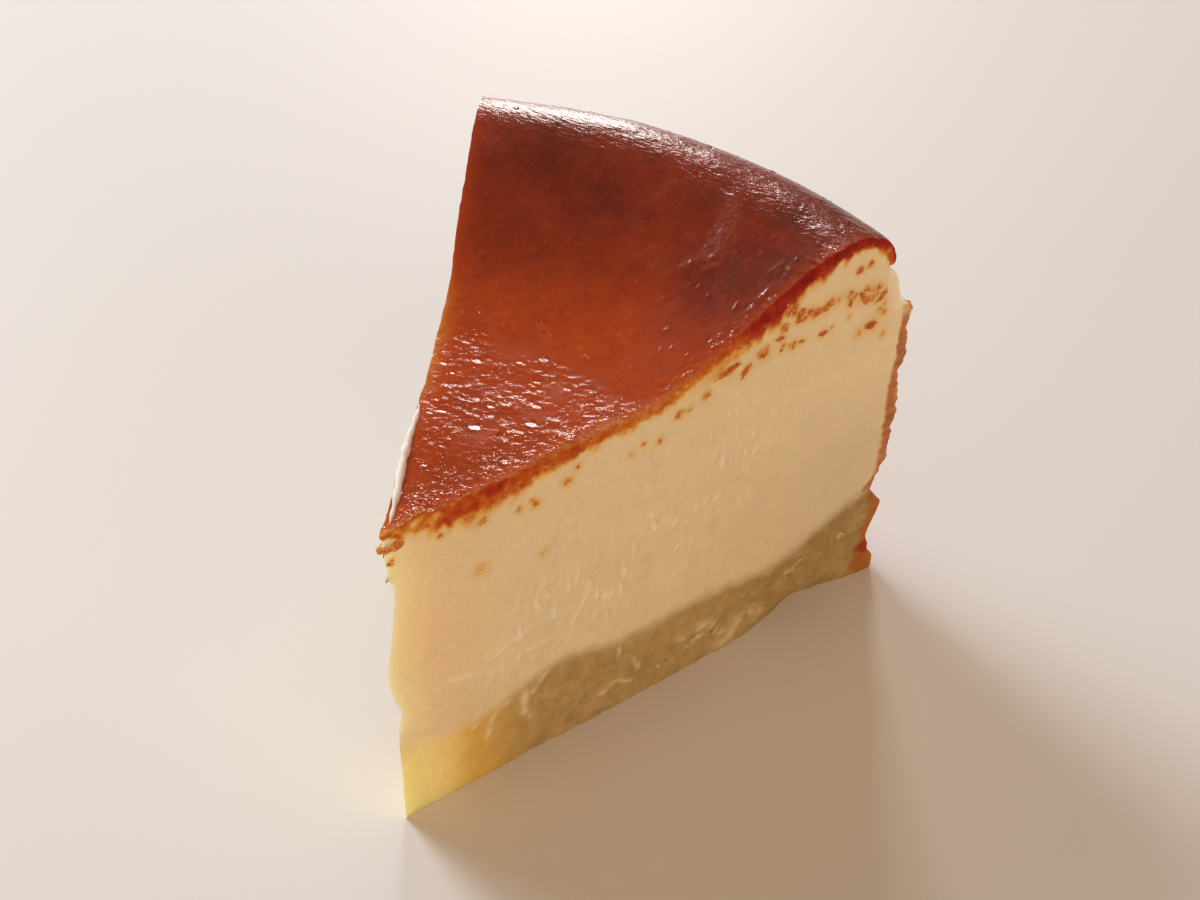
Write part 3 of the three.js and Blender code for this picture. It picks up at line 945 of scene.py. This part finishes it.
def torn_skin():
    """The skin's crumbly torn edge: gold to dark red, dull."""
    material = new_material("torn skin")
    coarse = speckle(material, 1.3, 3.0)
    fine = speckle(material, 0.45, 2.0)
    tone = sum_of(material, coarse, 0.28, sum_of(material, fine, 0.22, -0.25))
    browning = sum_of(material, tone, 1.0, value_of(material, "browning"))
    return surface(
        material,
        {
            "Base Color": ramp(material, browning, TORN_STOPS),
            "Roughness": 0.6,
            "Specular IOR Level": 0.04,
            "Normal": bump(material, fine, 0.12, bump(material, coarse, 0.2)),
            "Subsurface Weight": 0.08,
            "Subsurface Radius": (1.0, 0.35, 0.1),
            "Subsurface Scale": 0.6 * MM,
        },
    )


tip_shares = np.linspace(0.0, SKIN_TIP_SHARE, SKIN_TIP_COLUMNS, endpoint=False)
skin_shares = np.concatenate([tip_shares, np.linspace(SKIN_TIP_SHARE, 1.0, SKIN_RIM_COLUMNS + 1)])
skin_line = at_shares(top_line(LIP_END_ANGLE, 0.0), skin_shares)
skin_run = np.gradient(skin_line, axis=0)
skin_run /= np.linalg.norm(skin_run, axis=-1, keepdims=True)
skin_rows = np.linspace(0.0, 1.0, SKIN_ROWS + 1)

last_column = len(skin_shares) - 1
column, turn, row, faces = slice_block(last_column, SKIN_TURNS, SKIN_ROWS, last_column, 0)
radius, height = skin_line[column].T
solid = place(radius, height, turn, 0.0)
flat = solid * (1.0, 1.0, 0.0)
from_left = (1 + turn) * HALF_ANGLE * radius
from_right = (1 - turn) * HALF_ANGLE * radius
from_cut = np.minimum(from_left, from_right)
at_cut = np.exp(-from_cut / 1.5)
at_lip = smoothstep(skin_shares[column], 0.90, 0.96)
browned = browned_depth(radius, solid)
torn_depth = 0.85 * browned * (1 - at_lip) + LIP_THICKNESS * at_lip
thickness = LIP_THICKNESS + (torn_depth - LIP_THICKNESS) * at_cut
depth = (1 - skin_rows[row]) * thickness
inner = solid - depth[:, None] * (0.0, 0.0, 1.0)
torn_tone = torn_browning(radius, depth, browned, inner)

near_tip = 1 - smoothstep(radius + 2.5 * turn + 5.0 * grain(flat, 7.0, 62), 29.0, 43.0)
on_shoulder = smoothstep(radius + 3.0 * grain(flat, 7.0, 63), 54.0, 64.0)
left_edge = np.exp(-from_left / 1.8)
right_edge = np.exp(-from_right / 2.5)
smooth = 0 * radius
for island_radius, island_turn, island_size in SMOOTH_ISLANDS:
    gap = np.linalg.norm(from_spot(flat, island_radius, island_turn), axis=-1)
    smooth = np.maximum(smooth, hump(gap, 0.0, island_size))
wet = 0 * radius
leaned = 0 * radius
for facet_radius, facet_turn, facet_size in WET_FACETS:
    offset = from_spot(flat, facet_radius, facet_turn)
    span = np.linalg.norm(offset, axis=-1) + 0.3 * facet_size * grain(flat, 0.8, 61)
    inside = 1 - smoothstep(span, 0.75 * facet_size, 1.25 * facet_size)
    wet = np.maximum(wet, inside)
    leaned = leaned + inside * (offset @ FACET_SLOPE)
offset = from_spot(flat, BLISTER_RADIUS, BLISTER_TURN)
from_blister = np.linalg.norm(offset, axis=-1) + 0.8 * grain(flat, 3.0, 73)
blister = hump(from_blister, BLISTER_SIZE, 1.2)
blister_grain = blister * smoothstep(grain(flat, 2.2, 72), -0.4, 0.3)
lit_side = blister_grain * smoothstep(offset @ BLISTER_LIT, -1.0, 4.0)
ring_zone = hump(from_blister, BLISTER_SIZE, 2.8) * smoothstep(grain(flat, 2.2, 72), -0.3, 0.4)
strip_width = 1.3 + 2.4 * hump(radius, 62.0, 6.0)
edge_strip = hump(from_right, 1.1, strip_width) * smoothstep(grain(flat, 4.0, 59), -0.5, 0.3)
calm = 1 - 0.45 * smoothstep(grain(flat, (5.0, 3.5, 5.0), 79), -0.05, 0.35)
crackled = near_tip * (1 - smooth) * calm
wrinkled = crackled + 0.25 * on_shoulder + 0.7 * ring_zone + 0.35 * lit_side + 1.5 * edge_strip + 0.04
wrinkled = np.clip(wrinkled, 0.0, 1.5) * (0.45 + 0.55 * smoothstep(radius, 8.0, 20.0))
wrinkle = sum(deep * facets(flat @ WRINKLE_AXES.T, size, seed) for deep, size, seed in WRINKLES)
pinholes = smoothstep(grain(flat, 1.5, 69), 0.70, 0.82)
dots = smoothstep(grain(flat, 0.8, 64), 0.55, 0.63)
rounded = EDGE_ROUNDING * (1 + 0.4 * grain(solid, 1.2, 74)) * np.exp(-from_cut / 0.7)
rounded = rounded * smoothstep(turn, 0.0, 0.7) * smoothstep(radius, 1.0, 8.0)
relief = layered(flat, SKIN_SWELL) + wrinkled * (1 - 0.6 * left_edge) * (1 - wet) * wrinkle + leaned
relief = relief + BLISTER_HEIGHT * blister - PINHOLE_DEPTH * pinholes + DOT_HEIGHT * dots - rounded
raised = relief * np.exp(-depth / 0.6) - depth
torn_end = smoothstep(skin_shares[column], 0.955, 1.0) * layered(flat, TORN_LIP)
radius = radius - skin_run[column, 1] * raised + skin_run[column, 0] * torn_end
height = height + skin_run[column, 0] * raised + skin_run[column, 1] * torn_end
torn = layered(inner, TORN_EDGE) * (1 - 0.6 * smoothstep(radius, 14.0, 34.0))
torn = np.where(turn > 0, torn, 0.7 * torn)
feathered = 0.18 * smoothstep(skin_rows[row], 0.0, 0.35) - 0.12
feathered = feathered - 0.12 * smoothstep(skin_rows[row], 0.6, 1.0)
wander = knife_wander(radius, height, turn) + (feathered + torn) * smoothstep(radius, 0.0, 3.0)
points = place(radius, height, turn, wander)
points[:, 1] -= SKIN_TIP_OVERHANG * hump(radius, 0.0, TIP_REACH) * skin_rows[row]

on_top = DISH_TONE + RIM_TONE * smoothstep(radius, 36.0, 56.0) + 0.10 * hump(radius, 8.0, 14.0)
on_top = on_top + 0.06 * hump(turn, -0.5, 0.4) * smoothstep(radius, 36.0, 50.0)
on_top = on_top + 0.08 * smoothstep(turn, 0.3, 0.9) * smoothstep(radius, 38.0, 52.0)
# Painted glow: the skin is lighter and oranger at both cuts, where light shines through its thin edge
on_top = on_top - 0.13 * left_edge - 0.21 * right_edge**2
edge_glow_reach = smoothstep(radius, 20.0, 30.0) * (1 - smoothstep(radius, 58.0, 64.0))
on_top = on_top - 0.11 * left_edge**2 * edge_glow_reach
# Painted sheen: grainy pink along the right edge, on the blister ring and its lit side, and near the rim at
# the right
dusty = 0.40 * np.exp(-from_right / 1.1) * smoothstep(radius, 5.0, 12.0)
dusty = dusty * (1 - smoothstep(radius, 63.0, 69.0)) + 0.12 * blister_grain + 0.20 * lit_side
dusty = dusty + 0.35 * hump(radius, 62.0, 5.0) * right_edge
fine_tip = 1 + 0.9 * (1 - smoothstep(radius, 8.0, 24.0))
crackle = 0.5 * fine_tip * crackled * (1 - left_edge) * (1 - wet)
crackle = crackle + 0.2 * on_shoulder + edge_strip + 0.6 * ring_zone
in_cut = smoothstep(depth, 0.05, 0.6)
browned_top = make_piece(
    "browned_skin",
    points,
    faces,
    browned_skin(),
    browning=on_top * (1 - in_cut) + torn_tone * in_cut,
    wrinkle=np.clip(crackle, 0.0, 1.0),
    gloss=np.clip(crackle + 0.4 * crackled + 1.2 * wet, 0.0, 1.2),
    shoulder=on_shoulder,
    dusty=dusty,
)
torn_faces = np.ones(len(faces), np.int32)
torn_faces[-last_column * SKIN_TURNS :] = 0
browned_top.data.materials.append(torn_skin())
browned_top.data.polygons.foreach_set("material_index", torn_faces)
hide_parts("cheesecake")


# Skin flecks
# Crumbs of the browned skin that the knife tore off and dragged down into the soft cream of both cuts, most
# of them in rows under the rim. Each is a thin scrap half sunk in the cream.
FLECK_OUT = -0.01
LUMP_RINGS = 4
LUMP_SIDES = 12


def ring_faces(rings, sides):
    """Faces of a closed skin of rings between two end points, where the first end is point 0."""
    number = 1 + np.arange(rings * sides).reshape(rings, sides)
    closed = np.hstack([number, number[:, :1]])
    first = np.stack([0 * number[0], closed[0, :-1], closed[0, 1:]], axis=-1).tolist()
    last = np.stack([0 * number[0] + rings * sides + 1, closed[-1, 1:], closed[-1, :-1]], axis=-1).tolist()
    return first, quads(closed, False), last


def lumps(centres, axes, seed):
    """A lump at each centre: a sphere of rings, dented by noise of its own and stretched on three axes."""
    polar = np.linspace(0.0, np.pi, LUMP_RINGS + 1)[1:-1]
    polar, around = np.meshgrid(polar, 2 * np.pi * np.arange(LUMP_SIDES) / LUMP_SIDES, indexing="ij")
    ring = [np.sin(polar) * np.cos(around), np.sin(polar) * np.sin(around), np.cos(polar)]
    sphere = np.vstack([[(0, 0, 1)], np.stack(ring, axis=-1).reshape(-1, 3), [(0, 0, -1)]])
    own = np.arange(len(centres))[:, None, None] * (3.7, 5.3, 7.9)
    jagged = np.random.default_rng(seed).uniform(0.70, 1.25, (len(centres), len(sphere)))
    dented = sphere * np.maximum(jagged + 0.80 * grain(sphere * 2.0 + own, 1.0, seed), 0.5)[..., None]
    points = centres[:, None] + dented @ axes
    shift = (np.arange(len(centres)) * len(sphere))[:, None, None]
    parts = ring_faces(LUMP_RINGS - 1, LUMP_SIDES)
    faces = [face for part in parts for face in (np.array(part) + shift).reshape(-1, len(part[0])).tolist()]
    return points.reshape(-1, 3), faces


def on_cut(radius, height, side, out):
    """Points on the right cut (side 1) or the left cut (side -1), moved outwards by out."""
    turn = side + 0 * radius
    return place(radius, height, turn, knife_wander(radius, height, turn) + out)


def lumps_on_cut(spots, sizes, slant, side, out, seed):
    """Lumps that follow a cut: made in the cut's own radius, height and outward axes, turned by slant, then
    placed with out added. The faces of the left cut are turned over."""
    first = np.stack([np.cos(slant), np.sin(slant), 0 * slant], axis=-1)
    second = np.stack([-np.sin(slant), np.cos(slant), 0 * slant], axis=-1)
    third = np.broadcast_to((0.0, 0.0, 1.0), first.shape)
    axes = np.stack([first, second, third], axis=1) * sizes[:, :, None]
    points, faces = lumps(np.column_stack([spots, 0 * slant]), axes, seed)
    faces = [face[:: int(side)] for face in faces]
    return on_cut(points[:, 0], points[:, 1], side, points[:, 2] + out), faces


def joined(parts):
    """Puts the points and faces of several parts together."""
    starts = np.cumsum([0] + [len(points) for points, faces in parts]).tolist()
    faces = [[start + number for number in face] for start, part in zip(starts, parts) for face in part[1]]
    return np.vstack([points for points, faces in parts]), faces


def fleck_skin():
    """Torn bits of browned skin, from gold to red-brown."""
    material = new_material("skin flecks")
    tone = sum_of(material, speckle(material, 0.45, 3.0), 0.60, -0.33)
    browning = sum_of(material, tone, 1.0, value_of(material, "browning"))
    return surface(
        material,
        {
            "Base Color": ramp(material, browning, TORN_STOPS),
            "Roughness": 0.5,
            "Specular IOR Level": 0.2,
            "Normal": bump(material, speckle(material, 0.25, 2.0), 0.04),
            "Subsurface Weight": 0.05,
            "Subsurface Radius": (1.0, 0.4, 0.15),
            "Subsurface Scale": 0.3 * MM,
        },
    )


from_rim = np.abs(np.cos(np.linspace(0.0, np.pi, LUMP_RINGS + 1)))
from_rim = np.repeat(from_rim, [1] + [LUMP_SIDES] * (LUMP_RINGS - 1) + [1])
fleck_parts = []
fleck_tones = []
for side in (1.0, -1.0):
    spots, sizes, slant, tones = fleck_places(side)
    points, faces = lumps_on_cut(spots, sizes, slant, side, FLECK_OUT, 81)
    fleck_parts.append((points, faces))
    own_tones = np.add.outer(tones, 0.24 * from_rim - 0.14).ravel()
    fleck_tones.append(own_tones + 0.12 * grain(points, 0.7, 82))
browning = np.concatenate(fleck_tones)
flecks = make_piece("skin_flecks", *joined(fleck_parts), fleck_skin(), browning=browning)
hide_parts("cheesecake")


# The bead
# Soft cream that the knife squeezed up along the left edge of the top, near the tip. It is a wet, glossy
# bead that lies on the edge of the skin.
STRAND_SIDES = 10
STRAND_STEPS = 40
# Places along the bead: radius, and how far it lies in from the left cut
BEAD = [(21.0, 0.2), (18.5, 0.35), (14.0, 0.25), (9.0, 0.40), (4.5, 0.50), (1.5, 0.55)]
BEAD_RADIUS = 0.50
BEAD_LIFT = 0.05


def strand(path, outward, thickness, seed):
    """A round strand along a path: rings square to the path, uneven by noise, thinning to both ends."""
    share = np.linspace(0.0, 1.0, len(path))[1:-1]
    run = np.gradient(path, axis=0)[1:-1]
    sideways = np.cross(run, outward)
    sideways /= np.linalg.norm(sideways, axis=-1, keepdims=True)
    upright = np.cross(sideways, run)
    upright /= np.linalg.norm(upright, axis=-1, keepdims=True)
    around = 2 * np.pi * np.arange(STRAND_SIDES)[:, None] / STRAND_SIDES
    uneven = 1 + 0.6 * grain(path[1:-1], 1.6, seed)
    girth = (thickness * uneven * np.sqrt(np.sin(np.pi * share)))[:, None, None]
    rings = girth * (np.cos(around) * sideways[:, None] + np.sin(around) * upright[:, None])
    points = np.vstack([path[:1], (path[1:-1, None] + rings).reshape(-1, 3), path[-1:]])
    first, sides, last = ring_faces(len(share), STRAND_SIDES)
    return points, first + sides + last


def smeared_cream():
    """Wet, pale cream with a soft shine."""
    material = new_material("smeared cream")
    mottle = speckle(material, 1.5, 3.0)
    return surface(
        material,
        {
            "Base Color": ramp(material, mottle, [(0.3, (0.93, 0.74, 0.66)), (0.7, (0.97, 0.87, 0.83))]),
            "Roughness": 0.32,
            "Normal": bump(material, speckle(material, 0.4, 2.0), 0.06),
            "Subsurface Weight": 0.35,
            "Subsurface Radius": (1.0, 0.65, 0.4),
            "Subsurface Scale": 1.0 * MM,
        },
    )


bead_line = smooth_line(BEAD, np.linspace(0.0, 1.0, STRAND_STEPS))
bead_path = on_cut(bead_line[:, 0], top_height(bead_line[:, 0]) + BEAD_LIFT, -1.0, -bead_line[:, 1])
points, faces = strand(bead_path, np.array([0.0, 0.0, 1.0]), BEAD_RADIUS, 97)
bead = make_piece("cream_bead", points, faces, smeared_cream())
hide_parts("cheesecake")


# The torn flakes
# One flake of the skin's underside hangs below the skin at the tip, with a little pale cream between them,
# and one flake of crust stands up at the top of the side.

# The flakes at the tip and at the side: places as radius and height, half thickness and browning
FLAKES = [
    ([(-0.6, 46.9), (0.6, 47.0), (1.8, 46.9), (3.2, 46.6)], 0.85, 0.41),
    ([(73.4, 47.3), (74.2, 47.0), (74.6, 46.2), (74.5, 44.6)], 0.65, 0.30),
]
FLAKE_OUT = np.linspace(-0.3, -0.7, STRAND_STEPS)
SQUARE_TO_CUT = np.array([np.cos(HALF_ANGLE), -np.sin(HALF_ANGLE), 0.0])

flake_parts = []
flake_tones = []
for places, thickness, tone in FLAKES:
    flake_line = smooth_line(places, np.linspace(0.0, 1.0, STRAND_STEPS))
    flake_path = on_cut(flake_line[:, 0], flake_line[:, 1], 1.0, FLAKE_OUT)
    points, faces = strand(flake_path, SQUARE_TO_CUT, thickness, 98)
    rough = [layered(points, [(0.16, 0.8, seed), (0.12, 0.4, seed + 3)]) for seed in (101, 102, 103)]
    flake_parts.append((points + np.stack(rough, axis=-1), faces))
    flake_tones.append(tone + 0.16 * grain(points, 0.8, 96))
browning = np.concatenate(flake_tones)
flakes = make_piece("torn_flakes", *joined(flake_parts), fleck_skin(), browning=browning)
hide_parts("cheesecake")


# Base crumbs
# Paler crumbs of the base that the knife pulled loose. They stand out of both its cuts, most of them beside
# the chip, and stick to the moist layer.

# Rows of crumbs: both ends as radius and height, then count and half size
CRUMB_ROWS = [
    ((44.0, 6.5), (50.0, 1.5), 10, 0.45),
    ((51.0, 4.0), (55.5, 9.5), 5, 0.40),
    ((32.0, 6.0), (43.0, 4.0), 7, 0.36),
    ((56.0, 9.0), (68.0, 10.5), 4, 0.32),
    ((20.0, 7.0), (30.0, 3.0), 4, 0.32),
]
CRUMB_SCATTER = 1.0
CRUMB_OUT = -0.05
LEAST_CRUMB_HEIGHT = 0.9
CRUMB_CLEARANCE = 0.1


def crumb_places(side):
    """Places along the rows, each strayed a little, with three half sizes and a slant for each crumb."""
    rng = np.random.default_rng(85 + int(side))
    spots, which = along_rows(CRUMB_ROWS, CRUMB_SCATTER, rng)
    spots[:, 1] = np.maximum(spots[:, 1], LEAST_CRUMB_HEIGHT)
    sizes = np.array([row[3] for row in CRUMB_ROWS])[which] * rng.lognormal(0.08, 0.35, len(which))
    stretch = rng.uniform(0.8, 1.7, len(which))
    sizes = np.stack([sizes * stretch, sizes / stretch, 0.5 * sizes / stretch], axis=-1)
    return spots, sizes, rng.normal(0.35, 0.4, len(which))


def pale_crumb():
    """Loose khaki crumb, paler than the pressed layer."""
    material = new_material("pale crumb")
    mottle = speckle(material, 0.8, 3.0)
    return surface(
        material,
        {
            "Base Color": ramp(material, mottle, [(0.3, KHAKI), (0.6, KHAKI_PALE), (0.8, CREAM)]),
            "Roughness": 0.55,
            "Normal": bump(material, speckle(material, 0.3, 2.0), 0.06),
            "Subsurface Weight": 0.4,
            "Subsurface Radius": (1.0, 0.6, 0.25),
            "Subsurface Scale": 1.5 * MM,
        },
    )


crumb_parts = []
for side in (1.0, -1.0):
    points, faces = lumps_on_cut(*crumb_places(side), side, CRUMB_OUT, 86)
    points[:, 2] = np.maximum(points[:, 2], CRUMB_CLEARANCE)
    crumb_parts.append((points, faces))
crumbs = make_piece("base_crumbs", *joined(crumb_parts), pale_crumb())
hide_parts("base_layer")


# The floor and the light
# A plain pale floor under soft light: a large window from the back left with a bright pane that the skin
# mirrors, a low window behind that shines on the rim, a pane overhead that shows only in the skin's gloss,
# and a weak warm fill from the front right.
FLOOR_SIZE = 1500.0
FLOOR_COLOUR = (0.80, 0.78, 0.76)
LIGHT_AIM = Vector((0.0, 0.0, 30.0))
WARM_LIGHT = (1.0, 0.72, 0.50)
ROOM_STRENGTH = 0.30

floor_mesh = bpy.data.meshes.new("floor")
floor_corners = FLOOR_SIZE * MM * np.array([(-1, -1, 0), (1, -1, 0), (1, 1, 0), (-1, 1, 0)], float)
floor_mesh.from_pydata(floor_corners.tolist(), [], [(0, 1, 2, 3)])
floor_finish = {"Base Color": (*FLOOR_COLOUR, 1.0), "Roughness": 0.5}
floor_mesh.materials.append(surface(new_material("pale floor"), floor_finish))
floor = add_object("floor", floor_mesh)


def soft_light(name, position, size, power, colour, mirrored=True, lighting=True):
    """A rectangular area light at a position, in millimetres, that faces the middle of the slice. Glossy
    food mirrors it only if mirrored is true, and it lights dull surfaces only if lighting is true."""
    light = bpy.data.lights.new(name, "AREA")
    light.shape = "RECTANGLE"
    light.size = size[0] * MM
    light.size_y = size[1] * MM
    light.energy = power
    light.color = colour
    lamp = add_object(name, light)
    lamp.location = Vector(position) * MM
    lamp.visible_glossy = mirrored
    lamp.visible_diffuse = lighting
    lamp.rotation_euler = (LIGHT_AIM - Vector(position)).to_track_quat("-Z", "Y").to_euler()


soft_light("window", (-1076.0, 289.0, 670.0), (720.0, 720.0), 8.5, (0.80, 0.90, 1.0), False)
soft_light("bright pane", (-1050.0, 330.0, 690.0), (360.0, 360.0), 6.5, (0.86, 0.93, 1.0))
soft_light("low window behind", (-619.0, 1071.0, 426.0), (250.0, 560.0), 6.1, (1.0, 0.94, 0.90))
soft_light("overhead pane", (-60.0, 560.0, 1110.0), (260.0, 260.0), 0.8, (1.0, 0.90, 0.88), True, False)
soft_light("warm fill", (840.0, -744.0, 430.0), (1500.0, 1000.0), 7.0, WARM_LIGHT)

world = bpy.data.worlds.new("room")
world.use_nodes = True
world.node_tree.nodes["Background"].inputs["Color"].default_value = (*WARM_LIGHT, 1.0)
world.node_tree.nodes["Background"].inputs["Strength"].default_value = ROOM_STRENGTH
bpy.context.scene.world = world
bpy.context.scene.view_settings.view_transform = "Standard"


# The camera
# It looks down at the right cut, as the picture was taken, from a point fitted to the slice's corners.
CAMERA_FROM_AXIS = (93.5, -115.95, 200.7)
CAMERA_AZIMUTH = np.radians(30.05)
CAMERA_PITCH = np.radians(43.2)
CAMERA_ROLL = np.radians(1.09)
FOCAL_LENGTH = 60.0
CLIP_START = 10.0

camera = add_object("camera", bpy.data.cameras.new("camera"))
camera.data.lens = FOCAL_LENGTH
camera.data.clip_start = CLIP_START * MM
spot = Vector(CAMERA_FROM_AXIS) + Vector((0.0, AXIS_Y, 0.0))
aim = Matrix.Rotation(CAMERA_AZIMUTH, 4, "Z") @ Matrix.Rotation(np.pi / 2 - CAMERA_PITCH, 4, "X")
camera.matrix_world = Matrix.Translation(spot * MM) @ aim @ Matrix.Rotation(CAMERA_ROLL, 4, "Z")
bpy.context.scene.camera = camera
